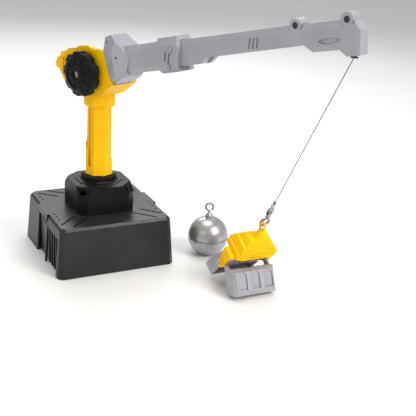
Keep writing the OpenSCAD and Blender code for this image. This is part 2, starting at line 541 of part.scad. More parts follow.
// ---------- grab ----------
module grab_body() {
    color([1, 0.78, 0]) grabf() difference() {
        union() {
            // stacked plates that narrow towards the top
            translate([0, 0, 22]) linear_extrude(height = 6) polygon([[-14, -25], [14, -25], [17, -21], [17, 21], [14, 25], [-14, 25], [-17, 21], [-17, -21]]);
            translate([0, 0, 28 - e]) linear_extrude(height = 8.6, scale = [0.8, 0.86], slices = 1) polygon([[-15, -23], [15, -23], [15, 23], [-15, 23]]);
            translate([0, 0, 36.5]) linear_extrude(height = 6, scale = [0.62, 0.8], slices = 1) polygon([[-10.5, -16], [10.5, -16], [10.5, 16], [-10.5, 16]]);
        }
        translate([0, 0, 20]) linear_extrude(height = 14, scale = [0.8, 0.9], slices = 1) polygon([[-13, -21], [13, -21], [13, 21], [-13, 21]]);
        // windows along both long sides
        for (s = [-1, 1]) {
            translate([s * 17.2, 4, 25.4]) cube([3, 12, 1.8], center = true);
            translate([s * 14.2, 14, 33]) cube([3, 8, 1.8], center = true);
            translate([s * 14.2, -14, 33]) cube([3, 8, 1.8], center = true);
        }
        translate([0, 0, 30]) cylinder(r = 1.6, h = 20, $fn = 24);
        for (s = [-1, 1]) translate([0, s * 18, 18]) cylinder(r = 1.45, h = 14, $fn = 24);
    }
}
module grab_frame() {
    color([1, 0.78, 0]) grabf() difference() {
        union() {
            for (s = [-1, 1]) {
                // side arm with its round pivot boss
                exY([[-10, 22], [6, 22], [6, 17], [4.4, 2], [-4.4, -2], [-5, 4]], s > 0 ? 28.2 : -31.2, s > 0 ? 31.2 : -28.2);
                cy(5.2, s > 0 ? 28.2 : -32.4, s > 0 ? 32.4 : -28.2, 36);
            }
            translate([-10, -31.2, 18]) cube([16, 62.4, 3.98]);
            translate([-13.6, -24, 19.4]) cube([27.2, 48, 2.58]);
        }
        cy(1.55, -40, 40, 28);
        cy(2.9, -40, -31.2, 28);
        cy(2.9, 31.2, 40, 28);
        // opening for the slider
        translate([-5.4, -7.4, 10]) cube([10.8, 14.8, 20]);
        for (s = [-1, 1]) translate([0, s * 18, 10]) { cylinder(r = 1.6, h = 14, $fn = 24); cylinder(r = 3, h = 9.4, $fn = 28); }
    }
}
module grab_screws() color("silver") grabf() for (s = [-1, 1]) translate([0, s * 18, 19.38]) screw(11.5, 1.4, 2.8, 1.6);
module grab_eye() color([1, 0.78, 0]) grabf() {
    // threaded root and washer face, tapered post, ring
    translate([0, 0, 32.5]) cylinder(r = 1.55, h = 10.9, $fn = 24);
    translate([0, 0, 32.4]) cylinder(r = 3.2, h = 1.55, $fn = 6);
    translate([0, 0, 42.52]) cylinder(r1 = 4.2, r2 = 1.9, h = 12.6, $fn = 32);
    translate([0, 0, 59.15]) arcring(4.6, 1.3, 0, 360);
}
module grab_slider() {
    // cross head that ties the two jaws to the body
    color([0.6, 0.6, 0.62]) grabf() difference() {
        union() {
            translate([-2.1, -7, 3.6]) cube([4.2, 14, 22]);
            translate([-6.4, -9, 25.5]) cube([12.8, 18, 2.2]);
            cy(4, -7, 7);
        }
        cy(1.55, -40, 40, 28);
        translate([-5, -3.4, 8]) cube([10, 6.8, 12]);
    }
}
module pivot_pin() color("silver") grabf() {
    cy(1.5, -31.3, 31.3, 28);
    difference() {
        union() { cy(2.7, -32.3, -31.22, 28); cy(2.7, 31.22, 32.3, 28); }
        for (s = [-1, 1]) translate([-2, s > 0 ? 31.8 : -32.8, -0.4]) cube([4, 1, 0.8]);
    }
}
// one jaw, closed against the middle plane, bowl on the +X side
jaw_side = [[0.35, -11], [9, -8.6], [16.5, -9.4], [19.6, -13], [20.4, -33.5], [17.6, -39.6], [0.35, -36.2]];
jaw_side_in = [[-1, -13.4], [9, -11], [15.8, -11.8], [17.4, -14.4], [18.2, -33], [16, -37], [-1, -34]];
module jaw(k) {
    w = jaw_half;
    ear0 = k == 0 ? w - 2.3 : w - 4.9;
    ear1 = k == 0 ? w : w - 2.6;
    difference() {
        union() {
            intersection() {
                exY(jaw_side, -w, w);
                // plan outline with cut corners
                translate([0, 0, -60]) linear_extrude(height = 60) polygon([[-1, -w], [16, -w], [20.6, -w + 3.6], [20.6, w - 3.6], [16, w], [-1, w]]);
            }
            for (s = [-1, 1]) {
                exY([[-3.6, 0], [3.6, 0], [9.6, -8], [10.4, -13], [0.35, -13], [0.35, -7.5]], s > 0 ? ear0 : -ear1, s > 0 ? ear1 : -ear0);
                cy(4.4, s > 0 ? ear0 : -ear1, s > 0 ? ear1 : -ear0, 36);
                if (k == 1) exY([[0.35, -12], [8, -10.2], [10.4, -13], [10.4, -16], [0.35, -16]], s > 0 ? ear0 : -w, s > 0 ? w : -ear0);
            }
        }
        exY(jaw_side_in, -w + 2.1, w - 2.1);
        // three tall round-topped panels sunk in the front
        for (y = [-17, 0, 17]) {
            translate([20.9, y, -18.2]) rotate([0, 90, 0]) translate([0, 0, -2]) cylinder(r = 5.8, h = 3.6, $fn = 32);
            translate([18.9, y - 5.8, -33]) cube([3.6, 11.6, 14.8]);
        }
        // teeth cut in the lip
        for (i = [-6 : 5]) translate([0, i * 4.3 + 2.15, -36.6]) rotate([45, 0, 0]) cube([3, 1.9, 1.9], center = true);
        cy(1.57, -40, 40, 28);
    }
}
module jaw_near() color([0.6, 0.6, 0.62]) grabf() rotate([0, 0, 180]) rotate([0, -jaw_open, 0]) jaw(0);
module jaw_far() color([0.6, 0.6, 0.62]) grabf() rotate([0, -jaw_open_far, 0]) jaw(1);

// ---------- wrecking ball ----------
module ballf() translate([ball_pos[0], ball_pos[1], ball_r - 0.6]) children();
module ball_lower() color("silver") ballf() difference() {
    sphere(r = ball_r, $fn = 64);
    sphere(r = ball_r - 2.4, $fn = 64);
    translate([-40, -40, -0.15]) cube([80, 80, 60]);
    translate([-40, -40, -ball_r - 9.4]) cube([80, 80, 10]);
    difference() {
        translate([0, 0, -1.2]) cylinder(r = 40, h = 3, $fn = 48);
        translate([0, 0, -3]) cylinder(r = ball_r - 1.3, h = 6, $fn = 64);
    }
}
module ball_upper() color("silver") ballf() difference() {
    union() {
        difference() {
            sphere(r = ball_r, $fn = 64);
            sphere(r = ball_r - 2.4, $fn = 64);
            translate([-40, -40, -60]) cube([80, 80, 60]);
        }
        translate([0, 0, ball_r - 8]) cylinder(r = 5, h = 6, $fn = 32);
    }
    translate([0, 0, 10]) cylinder(r = 1.62, h = 30, $fn = 24);
}
module ball_cap() color([0.5, 0.5, 0.52]) ballf() difference() {
    union() {
        translate([0, 0, ball_r - 0.35]) cylinder(r = 4.7, h = 2.8, $fn = 40);
        translate([0, 0, ball_r + 2.4]) cylinder(r1 = 4.7, r2 = 1.9, h = 3.4, $fn = 40);
    }
    sphere(r = ball_r + 0.02, $fn = 64);
    translate([0, 0, 10]) cylinder(r = 1.57, h = 40, $fn = 24);
}
module ball_hook() color([0.72, 0.72, 0.74]) ballf() {
    translate([0, 0, ball_r - 9]) cylinder(r = 1.5, h = 17.8, $fn = 24);
    translate([0, 0, ball_r + 13]) rotate([0, 0, -28]) {
        arcring(4.6, 1.3, -60, 210);
        translate([0, 0, -4.6]) sphere(r = 1.5, $fn = 20);
        rotate([0, 60, 0]) translate([4.6, 0, 0]) sphere(r = 1.3, $fn = 20);
        arcring(4.6, 1.3, 205, 270);
    }
}

base_shell();
base_floor();
floor_screws();
pedestal();
pedestal_screws();
slew_collar();
column();
slew_washer();
slew_screw();
head_shell_near();
head_shell_far();
head_screws();
boom_root();
root_screws();
boom_collar_near();
boom_collar_far();
collar_bolts();
boom_shell_near();
boom_shell_far();
boom_screws();
line_guide();
tip_pin();
tip_roller();
line_inner();
winding_knob();
winch_shaft();
winch_drum();
line_winding();
knob_screw();
click_wheel();
click_spring();
hoist_line();
line_ferrule();
swivel_hook();
grab_body();
grab_frame();
grab_eye();
grab_slider();
grab_screws();
pivot_pin();
jaw_near();
jaw_far();
ball_upper();
ball_lower();
ball_cap();
ball_hook();
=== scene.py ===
# Toy tower crane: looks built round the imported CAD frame.
import json
import math

import bpy
import bmesh
import numpy as np
from mathutils import Matrix, Vector


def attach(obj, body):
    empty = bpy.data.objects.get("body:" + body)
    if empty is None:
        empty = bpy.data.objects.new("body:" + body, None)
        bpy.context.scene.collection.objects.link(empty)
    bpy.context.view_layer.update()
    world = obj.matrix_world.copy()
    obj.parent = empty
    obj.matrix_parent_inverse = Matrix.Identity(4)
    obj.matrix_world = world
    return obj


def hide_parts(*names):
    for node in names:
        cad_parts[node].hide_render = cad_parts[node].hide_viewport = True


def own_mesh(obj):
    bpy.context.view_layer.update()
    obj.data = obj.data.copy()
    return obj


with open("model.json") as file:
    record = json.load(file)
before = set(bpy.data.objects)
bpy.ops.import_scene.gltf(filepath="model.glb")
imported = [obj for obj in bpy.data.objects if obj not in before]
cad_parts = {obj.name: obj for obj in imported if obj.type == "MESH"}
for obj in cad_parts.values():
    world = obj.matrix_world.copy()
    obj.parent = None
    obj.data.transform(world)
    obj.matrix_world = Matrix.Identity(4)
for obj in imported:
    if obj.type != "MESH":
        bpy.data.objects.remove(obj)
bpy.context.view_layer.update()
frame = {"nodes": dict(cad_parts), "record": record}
nodes = frame["nodes"]
scene = bpy.context.scene
scene.view_settings.view_transform = "Standard"
scene.view_settings.look = "None"

# ---------------------------------------------------------------- camera
YAW, PITCH, ROLL = 0.482955547, 0.370225016, 0.0641855771
fwd = Vector((math.sin(YAW) * math.cos(PITCH), math.cos(YAW) * math.cos(PITCH), -math.sin(PITCH)))
right = Vector((math.cos(YAW), -math.sin(YAW), 0))
up = right.cross(fwd)
r2 = math.cos(ROLL) * right + math.sin(ROLL) * up
u2 = -math.sin(ROLL) * right + math.cos(ROLL) * up
cam_data = bpy.data.cameras.new("camera")
cam_data.sensor_width = 36.0
cam_data.lens = 69.23
cam_data.clip_start = 0.01
cam = bpy.data.objects.new("camera", cam_data)
scene.collection.objects.link(cam)
m = Matrix((r2, u2, -fwd)).transposed().to_4x4()
m.translation = Vector((-0.30635, -0.87436, 0.41938))
cam.matrix_world = m
scene.camera = cam

# ---------------------------------------------------------------- frames of the crane (metres)
MM = 0.001


def rz(a):
    a = math.radians(a)
    return np.array([[math.cos(a), -math.sin(a), 0], [math.sin(a), math.cos(a), 0], [0, 0, 1]])


def ry(a):
    a = math.radians(a)
    return np.array([[math.cos(a), 0, math.sin(a)], [0, 1, 0], [-math.sin(a), 0, math.cos(a)]])


HEAD = rz(-65)
TIP = HEAD @ np.array([323.3, 0, 293.8])
LINE = rz(96.0) @ ry(-28.2)
GRAB = LINE @ rz(-4.0)
D = LINE @ np.array([0, 0, -1.0])
LEN = 199.5
HOOK_O = TIP + D * LEN
GRAB_O = TIP + D * 294.0
BALL_O = np.array([124.5, -57.0, 24.4])
WINCH_O = np.array([0, 0, 225.0])


def place(pts, R, o):
    """Points in millimetres of a local frame, as metres of the row frame."""
    return (np.asarray(pts, float) @ R.T + o) * MM


# ---------------------------------------------------------------- materials
def new_mat(name):
    mat = bpy.data.materials.new(name)
    mat.use_nodes = True
    nt = mat.node_tree
    nt.nodes.clear()
    out = nt.nodes.new("ShaderNodeOutputMaterial")
    bs = nt.nodes.new("ShaderNodeBsdfPrincipled")
    nt.links.new(bs.outputs[0], out.inputs[0])
    return mat, nt, bs


def noise(nt, vec, scale, detail=3.0, rough=0.5, dist=0.0):
    n = nt.nodes.new("ShaderNodeTexNoise")
    n.inputs["Scale"].default_value = scale
    n.inputs["Detail"].default_value = detail
    n.inputs["Roughness"].default_value = rough
    n.inputs["Distortion"].default_value = dist
    nt.links.new(vec, n.inputs["Vector"])
    return n.outputs["Fac"]


def ramp(nt, fac, a, b, ca=0.0, cb=1.0):
    r = nt.nodes.new("ShaderNodeMapRange")
    r.inputs["From Min"].default_value = a
    r.inputs["From Max"].default_value = b
    r.inputs["To Min"].default_value = ca
    r.inputs["To Max"].default_value = cb
    nt.links.new(fac, r.inputs["Value"])
    return r.outputs["Result"]


def mix(nt, fac, a, b):
    x = nt.nodes.new("ShaderNodeMix")
    x.data_type = "RGBA"
    if isinstance(fac, float):
        x.inputs[0].default_value = fac
    else:
        nt.links.new(fac, x.inputs[0])
    for v, i in ((a, 6), (b, 7)):
        if isinstance(v, tuple):
            x.inputs[i].default_value = (*v, 1)
        else:
            nt.links.new(v, x.inputs[i])
    return x.outputs[2]


def math_node(nt, op, a, b):
    x = nt.nodes.new("ShaderNodeMath")
    x.operation = op
    for v, i in ((a, 0), (b, 1)):
        if isinstance(v, (int, float)):
            x.inputs[i].default_value = v
        else:
            nt.links.new(v, x.inputs[i])
    return x.outputs[0]


def plastic(name, base, dark, edge, rough, grain=0.25, coat=0.0, spec=0.5, flake=0.0, dust_and_top_light=0.0, recess_shade=0.7):
    """Moulded plastic: fine mould texture, slow tone drift, hairline scratches, rubbed edges, dust specks that also
    paint up-facing faces lighter, and painted shade in recesses.
    """
    mat, nt, bs = new_mat(name)
    tc = nt.nodes.new("ShaderNodeTexCoord")
    vec = tc.outputs["Object"]
    slow = noise(nt, vec, 28.0, 2.0)
    col = mix(nt, ramp(nt, slow, 0.35, 0.7), dark, base)
    # rubbed, lighter edges
    geo = nt.nodes.new("ShaderNodeNewGeometry")
    worn = ramp(nt, geo.outputs["Pointiness"], 0.53, 0.62)
    breakup = ramp(nt, noise(nt, vec, 420.0, 4.0), 0.38, 0.62)
    worn = math_node(nt, "MULTIPLY", worn, breakup)
    worn = math_node(nt, "MULTIPLY", worn, 0.06)
    col = mix(nt, worn, col, edge)
    if flake:
        fl = ramp(nt, noise(nt, vec, 5200.0, 1.0), 0.55, 0.72, 0.0, flake)
        col = mix(nt, fl, col, edge)
    # hairline scratches: strongly stretched noise
    mp = nt.nodes.new("ShaderNodeMapping")
    mp.inputs["Rotation"].default_value = (0.4, 0.3, 0.9)
    mp.inputs["Scale"].default_value = (1500.0, 30.0, 1500.0)
    nt.links.new(vec, mp.inputs["Vector"])
    scr = noise(nt, mp.outputs[0], 1.0, 2.0)
    scr = ramp(nt, scr, 0.66, 0.74)
    scr = math_node(nt, "MULTIPLY", scr, ramp(nt, noise(nt, vec, 60.0, 2.0), 0.5, 0.65))
    col = mix(nt, math_node(nt, "MULTIPLY", scr, 0.18), col, edge)
    # dust specks on up-facing faces; they also paint those top faces lighter, as if lit from above (painted light)
    if dust_and_top_light:
        sep = nt.nodes.new("ShaderNodeSeparateXYZ")
        nt.links.new(geo.outputs["Normal"], sep.inputs[0])
        up_ = ramp(nt, sep.outputs["Z"], 0.55, 1.0)
        spots = ramp(nt, noise(nt, vec, 1900.0, 3.0), 0.6, 0.78)
        col = mix(nt, math_node(nt, "MULTIPLY", math_node(nt, "MULTIPLY", up_, spots), dust_and_top_light), col, (0.42, 0.36, 0.3))
    # painted shade: ambient occlusion darkens the colour in slots, grooves and screw recesses, where shade falls
    ao = nt.nodes.new("ShaderNodeAmbientOcclusion")
    ao.samples = 8
    ao.only_local = True
    ao.inputs["Distance"].default_value = 0.0035
    recess_shade_mask = ramp(nt, ao.outputs["AO"], 0.4, 0.95, recess_shade, 0.0)
    col = mix(nt, recess_shade_mask, col, tuple(c * 0.3 for c in dark))
    nt.links.new(col, bs.inputs["Base Color"])
    rg = ramp(nt, noise(nt, vec, 240.0, 4.0), 0.3, 0.7, rough - 0.05, rough + 0.07)
    rg = math_node(nt, "ADD", rg, math_node(nt, "MULTIPLY", scr, 0.12))
    nt.links.new(rg, bs.inputs["Roughness"])
    bs.inputs["IOR"].default_value = 1.47
    bs.inputs["Specular IOR Level"].default_value = spec
    if coat:
        bs.inputs["Coat Weight"].default_value = coat
        bs.inputs["Coat Roughness"].default_value = 0.22
    bump = nt.nodes.new("ShaderNodeBump")
    bump.inputs["Strength"].default_value = grain
    bump.inputs["Distance"].default_value = 0.00006
    h = math_node(nt, "ADD", noise(nt, vec, 2600.0, 3.0), math_node(nt, "MULTIPLY", noise(nt, vec, 90.0, 2.0), 1.6))
    h = math_node(nt, "SUBTRACT", h, math_node(nt, "MULTIPLY", scr, 0.7))
    nt.links.new(h, bump.inputs["Height"])
    nt.links.new(bump.outputs[0], bs.inputs["Normal"])
    return mat


def metal(name, base, rough, aniso=0.0, dark=None, grain=0.2):
    mat, nt, bs = new_mat(name)
    tc = nt.nodes.new("ShaderNodeTexCoord")
    vec = tc.outputs["Object"]
    dark = dark or tuple(c * 0.72 for c in base)
    col = mix(nt, ramp(nt, noise(nt, vec, 320.0, 4.0), 0.35, 0.65), dark, base)
    nt.links.new(col, bs.inputs["Base Color"])
    bs.inputs["Metallic"].default_value = 1.0
    rg = ramp(nt, noise(nt, vec, 700.0, 4.0), 0.3, 0.7, rough - 0.06, rough + 0.1)
    nt.links.new(rg, bs.inputs["Roughness"])
    bump = nt.nodes.new("ShaderNodeBump")
    bump.inputs["Strength"].default_value = grain
    bump.inputs["Distance"].default_value = 0.00004
    nt.links.new(noise(nt, vec, 1800.0, 4.0), bump.inputs["Height"])
    nt.links.new(bump.outputs[0], bs.inputs["Normal"])
    return mat


YELLOW = plastic("yellow_plastic", (1.0, 0.575, 0.0005), (0.98, 0.53, 0.0005), (1.0, 0.68, 0.05), 0.42, grain=0.2, spec=0.16, recess_shade=0.35)
BLACK = plastic("black_plastic", (0.008, 0.0075, 0.0078), (0.005, 0.005, 0.0055), (0.06, 0.06, 0.062), 0.36, grain=0.34, spec=0.16, dust_and_top_light=0.05)
BASEB = plastic("base_plastic", (0.022, 0.0205, 0.0215), (0.015, 0.0143, 0.0152), (0.1, 0.1, 0.1), 0.34, grain=0.34, spec=0.34, dust_and_top_light=0.16)
GREY = plastic("grey_plastic", (0.425, 0.42, 0.46), (0.38, 0.376, 0.412), (0.56, 0.56, 0.6), 0.38, grain=0.18, spec=0.4, flake=0.16)
GREY.node_tree.nodes["Principled BSDF"].inputs["Metallic"].default_value = 0.35
DARKP = plastic("dark_plastic", (0.06, 0.06, 0.066), (0.04, 0.04, 0.045), (0.16, 0.16, 0.17), 0.42)
WHITEP = plastic("white_plastic", (0.74, 0.73, 0.69), (0.66, 0.65, 0.61), (0.85, 0.84, 0.8), 0.42)
STEEL = metal("zinc_steel", (0.58, 0.58, 0.59), 0.3)
# dark steel for the boom screws: painted shade of the screw holes they sit in
SCREW_HOLE_SHADE_STEEL = metal("screw_steel_painted_shade", (0.11, 0.11, 0.115), 0.36)
HOOKM = metal("hook_metal", (0.5, 0.47, 0.46), 0.3, dark=(0.2, 0.175, 0.17), grain=0.35)


def ball_paint():
    """Silver paint: fine flake, faint orange peel, darker rubbed spots."""
    mat, nt, bs = new_mat("ball_silver")
    tc = nt.nodes.new("ShaderNodeTexCoord")
    vec = tc.outputs["Object"]
    col = mix(nt, ramp(nt, noise(nt, vec, 45.0, 3.0), 0.35, 0.7), (0.36, 0.36, 0.37), (0.47, 0.47, 0.48))
    col = mix(nt, ramp(nt, noise(nt, vec, 6000.0, 1.0), 0.52, 0.7, 0.0, 0.5), col, (0.66, 0.66, 0.67))
    scuff = math_node(nt, "MULTIPLY", ramp(nt, noise(nt, vec, 300.0, 5.0, 0.65), 0.6, 0.7), ramp(nt, noise(nt, vec, 40.0, 2.0), 0.5, 0.6))
    col = mix(nt, math_node(nt, "MULTIPLY", scuff, 0.45), col, (0.16, 0.155, 0.15))
    nt.links.new(col, bs.inputs["Base Color"])
    bs.inputs["Metallic"].default_value = 0.78
    nt.links.new(ramp(nt, noise(nt, vec, 160.0, 3.0), 0.3, 0.7, 0.27, 0.37), bs.inputs["Roughness"])
    bump = nt.nodes.new("ShaderNodeBump")
    bump.inputs["Strength"].default_value = 0.3
    bump.inputs["Distance"].default_value = 0.00006
    nt.links.new(math_node(nt, "ADD", noise(nt, vec, 900.0, 2.0), math_node(nt, "MULTIPLY", scuff, -0.6)), bump.inputs["Height"])
    nt.links.new(bump.outputs[0], bs.inputs["Normal"])
    return mat


BALLM = ball_paint()


def cord_mat():
    mat, nt, bs = new_mat("braided_line")
    tc = nt.nodes.new("ShaderNodeTexCoord")
    vec = tc.outputs["Object"]
    col = mix(nt, ramp(nt, noise(nt, vec, 2500.0, 3.0), 0.35, 0.65), (0.02, 0.02, 0.022), (0.085, 0.085, 0.09))
    nt.links.new(col, bs.inputs["Base Color"])
    nt.links.new(ramp(nt, noise(nt, vec, 1500.0, 2.0), 0.3, 0.7, 0.62, 0.82), bs.inputs["Roughness"])
    bs.inputs["Sheen Weight"].default_value = 0.25
    bs.inputs["Sheen Roughness"].default_value = 0.5
    bump = nt.nodes.new("ShaderNodeBump")
    bump.inputs["Strength"].default_value = 0.5
    bump.inputs["Distance"].default_value = 0.00005
    nt.links.new(noise(nt, vec, 7000.0, 2.0), bump.inputs["Height"])
    nt.links.new(bump.outputs[0], bs.inputs["Normal"])
    return mat


CORDM = cord_mat()

BY_SLOT = {
    "plastic_yellow": YELLOW, "plastic_black": BLACK, "plastic_grey": GREY, "plastic_dark": DARKP, "plastic_white": WHITEP,
    "ball_silver": BALLM, "hook_metal": HOOKM, "metal_bright": STEEL, "line": CORDM,
}
slots = {s["node"]: s["material_slot"] for s in frame["record"]["subparts"]}
bodies = {n: b for b, ns in frame["record"]["behaviour"]["bodies"].items() for n in ns}

# ---------------------------------------------------------------- CAD nodes: soft moulded edges and finishes
BEVEL = {
    "base_shell": 0.55, "base_floor": 0.4, "pedestal": 0.5, "slew_collar": 0.45, "column": 0.5, "head_shell_near": 0.55, "head_shell_far": 0.5,
    "boom_root": 0.55, "boom_collar_near": 0.4, "boom_collar_far": 0.4, "boom_shell_near": 0.45, "boom_shell_far": 0.45,
    "grab_body": 0.5, "grab_frame": 0.4, "jaw_near": 0.4, "jaw_far": 0.4, "grab_slider": 0.3, "collar_bolts": 0.25,
}


def soften(o, width):
    w = o.modifiers.new("weld", "WELD")
    w.merge_threshold = 2e-6
    d = o.modifiers.new("planar", "DECIMATE")
    d.decimate_type = "DISSOLVE"
    d.angle_limit = math.radians(0.4)
    d.use_dissolve_boundaries = False
    b = o.modifiers.new("bevel", "BEVEL")
    b.width = width * MM
    b.segments = 3
    b.limit_method = "ANGLE"
    b.angle_limit = math.radians(24)
    b.use_clamp_overlap = True
    b.harden_normals = False
    b.miter_outer = "MITER_ARC"
    n = o.modifiers.new("normals", "WEIGHTED_NORMAL")
    n.keep_sharp = False
    n.weight = 90


for name, o in nodes.items():
    mat = BY_SLOT[slots[name]]
    o.data.materials.clear()
    o.data.materials.append(mat)
    # painted shade: the screw heads are coloured dark steel to stand for the shade inside the screw holes
    if name == "boom_screws":
        o.data.materials[0] = SCREW_HOLE_SHADE_STEEL
    if name in ("base_shell", "base_floor"):
        for i in range(len(o.data.materials)):
            o.data.materials[i] = BASEB
    if name in BEVEL:
        soften(o, BEVEL[name])


# ---------------------------------------------------------------- mesh helpers
def add_mesh(name, verts, faces, mat, smooth=True, angle=None):
    me = bpy.data.meshes.new(name)
    me.from_pydata([tuple(v) for v in verts], [], faces)
    me.validate()
    o = bpy.data.objects.new(name, me)
    scene.collection.objects.link(o)
    bm = bmesh.new()
    bm.from_mesh(me)
    bmesh.ops.remove_doubles(bm, verts=bm.verts, dist=1e-7)
    bmesh.ops.recalc_face_normals(bm, faces=bm.faces)
    bm.to_mesh(me)
    bm.free()
    for p in me.polygons:
        p.use_smooth = smooth
    if angle is not None:
        me.set_sharp_from_angle(angle=math.radians(angle))
    me.materials.append(mat)
    return o


def grid_faces(nr, nc, wrap_r=False, wrap_c=True):
    f = []
    for i in range(nr if wrap_r else nr - 1):
        for j in range(nc if wrap_c else nc - 1):
            a, b = i * nc + j, i * nc + (j + 1) % nc
            c, d = ((i + 1) % nr) * nc + (j + 1) % nc, ((i + 1) % nr) * nc + j
            f.append((a, b, c, d))
    return f


def lathe(profile, n, warp=None):
    """Rings of a (radius, height) profile round +Z, closed at both ends. warp(r, z, angle) moves a point."""
    v = []
    for r, z in profile:
        for k in range(n):
            a = 2 * math.pi * k / n
            rr, zz = (r, z) if warp is None else warp(r, z, a)
            v.append((rr * math.cos(a), rr * math.sin(a), zz))
    return v, grid_faces(len(profile), n)


def round_profile(pts, radii, seg=4):
    """A polyline whose corners are rounded."""
    out = [pts[0]]
    for i in range(1, len(pts) - 1):
        p0, p, p1 = (np.array(x, float) for x in (pts[i - 1], pts[i], pts[i + 1]))
        rad = radii[i]
        a, b = p0 - p, p1 - p
        la, lb = np.linalg.norm(a), np.linalg.norm(b)
        t = min(rad, la * 0.48, lb * 0.48)
        if t < 1e-6:
            out.append(tuple(p))
            continue
        s, e = p + a / la * t, p + b / lb * t
        for k in range(seg + 1):
            u = k / seg
            out.append(tuple((1 - u) ** 2 * s + 2 * u * (1 - u) * p + u * u * e))
    out.append(pts[-1])
    return out


def densify(pts, step):
    out = [pts[0]]
    for p, q in zip(pts, pts[1:]):
        n = max(1, int(math.ceil(math.hypot(q[0] - p[0], q[1] - p[1]) / step)))
        for k in range(1, n + 1):
            out.append((p[0] + (q[0] - p[0]) * k / n, p[1] + (q[1] - p[1]) * k / n))
    return out


def tube(path, radius, sides=12, closed=False, caps=True):
    """A tube along 3-D points; radius is a number or one value per point."""
    P = np.asarray(path, float)
    n = len(P)
    R = np.full(n, radius, float) if np.isscalar(radius) else np.asarray(radius, float)
    T = np.zeros_like(P)
    for i in range(n):
        a, b = (P[(i - 1) % n], P[(i + 1) % n]) if closed else (P[max(i - 1, 0)], P[min(i + 1, n - 1)])
        T[i] = (b - a) / np.linalg.norm(b - a)
    ref = np.array([0.12, 0.21, 0.97])
    if abs(np.dot(ref, T[0])) > 0.9:
        ref = np.array([0.97, 0.2, 0.1])
    U = np.cross(T[0], ref)
    U /= np.linalg.norm(U)
    v = []
    for i in range(n):
        U = U - T[i] * np.dot(U, T[i])
        U /= np.linalg.norm(U)
        W = np.cross(T[i], U)
        for k in range(sides):
            a = 2 * math.pi * k / sides
            v.append(P[i] + R[i] * (math.cos(a) * U + math.sin(a) * W))
    f = grid_faces(n, sides, wrap_r=closed)
    if not closed and caps:
        v.append(P[0] - T[0] * R[0] * 0.35)
        v.append(P[-1] + T[-1] * R[-1] * 0.35)
        c0, c1 = len(v) - 2, len(v) - 1
        for k in range(sides):
            f.append((c0, (k + 1) % sides, k))
            f.append((c1, (n - 1) * sides + k, (n - 1) * sides + (k + 1) % sides))
    return v, f


def join_parts(parts):
    v, f = [], []
    for pv, pf in parts:
        o = len(v)
        v += [tuple(p) for p in pv]
        f += [tuple(i + o for i in q) for q in pf]
    return v, f


def smooth01(x):
    x = min(1.0, max(0.0, x))
    return x * x * (3 - 2 * x)


# ---------------------------------------------------------------- hoist line: two twisted yarns, with a knot at the ferrule
line_len = LEN + 0.6
n_ring = 900
parts = []
for s in range(3):
    path = []
    for i in range(n_ring + 1):
        t = line_len * i / n_ring
        a = 2 * math.pi * (t / 3.4 + s / 3)
        path.append((0.225 * math.cos(a), 0.225 * math.sin(a), -t))
    parts.append(tube(path, 0.235, sides=7))
v, f = join_parts(parts)
line_o = add_mesh("hoist_line_yarns", place(v, LINE, TIP), f, CORDM)
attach(line_o, "line")
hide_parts("hoist_line")
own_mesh(line_o)

# knot: an overhand knot pulled tight, and its cut tail
kp = []
for i in range(72):
    t = 2 * math.pi * i / 72
    kp.append((0.62 * (math.sin(t) + 2 * math.sin(2 * t)) * 0.62, 0.62 * (math.cos(t) - 2 * math.cos(2 * t)) * 0.62, 2.1 - 0.85 * math.sin(3 * t)))
parts = [tube(kp, 0.5, sides=10, closed=True), tube([(0.6, 0.2, 2.6), (1.3, 0.5, 3.3), (1.9, 0.6, 4.3), (2.1, 0.9, 5.1)], [0.44, 0.42, 0.4, 0.46], sides=9)]
v, f = join_parts(parts)
knot = add_mesh("line_knot", place(v, LINE, HOOK_O), f, CORDM)
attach(knot, "ferrule")

# ---------------------------------------------------------------- ferrule, hook and its shank
prof = round_profile([(0.47, 0.4), (1.5, 0.3), (2.2, -0.6), (2.35, -2.2), (2.2, -3.6), (1.55, -4.3), (1.6, -6.0), (2.7, -6.1), (2.75, -8.3), (0.47, -8.4)],
                     [0, 0.4, 0.4, 0.6, 0.4, 0.3, 0.3, 0.35, 0.35, 0], 4)
v, f = lathe(densify(prof, 0.5), 48)
o = add_mesh("ferrule_turned", place(v, GRAB, HOOK_O), f, STEEL, angle=38)
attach(o, "ferrule")
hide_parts("line_ferrule")

HC, HR, HW = -28.5, 5.2, 1.5
prof = round_profile([(0.02, -8.55), (3.3, -8.6), (3.5, -10.0), (2.7, -11.0), (3.1, -12.4), (2.9, -16.6), (2.35, -18.0), (2.4, -19.6), (1.5, -20.6), (1.45, -22.4), (0.02, -22.6)],
                     [0, 0.3, 0.5, 0.5, 0.6, 0.8, 0.5, 0.5, 0.4, 0.3, 0], 4)


def shank_warp(r, z, a):
    # two flats pressed on the shank
    if -17.2 < z < -11.2 and r > 1.6:
        c = abs(math.sin(a)) * r
        lim = 2.0
        if c > lim:
            return (lim / max(1e-6, abs(math.sin(a))), z)
    return (r, z)


parts = [lathe(densify(prof, 0.4), 56, shank_warp)]
path, rad = [], []
a0, a1 = -5.0, 295.0
nseg = 96
for i in range(nseg + 1):
    t = i / nseg
    a = math.radians(a0 + (a1 - a0) * t)
    ends = min(t, 1 - t) * (a1 - a0)
    k = 0.62 + 0.38 * smooth01(ends / 22.0)
    path.append((0.0, HR * math.cos(a), HC + HR * math.sin(a)))
    rad.append(HW * k)
parts.append(tube(path, rad, sides=20))
# rounded noses
for end in (0, -1):
    c = path[end]
    ring = []
    vs, fs = lathe([(max(0.001, rad[end] * math.cos(b)), rad[end] * math.sin(b)) for b in np.linspace(-math.pi / 2, math.pi / 2, 9)], 16)
    parts.append(([(x + c[0], y + c[1], z + c[2]) for x, y, z in vs], fs))
v, f = join_parts(parts)
o = add_mesh("swivel_hook_forged", place(v, GRAB, HOOK_O), f, HOOKM, angle=45)
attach(o, "hook")
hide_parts("swivel_hook")

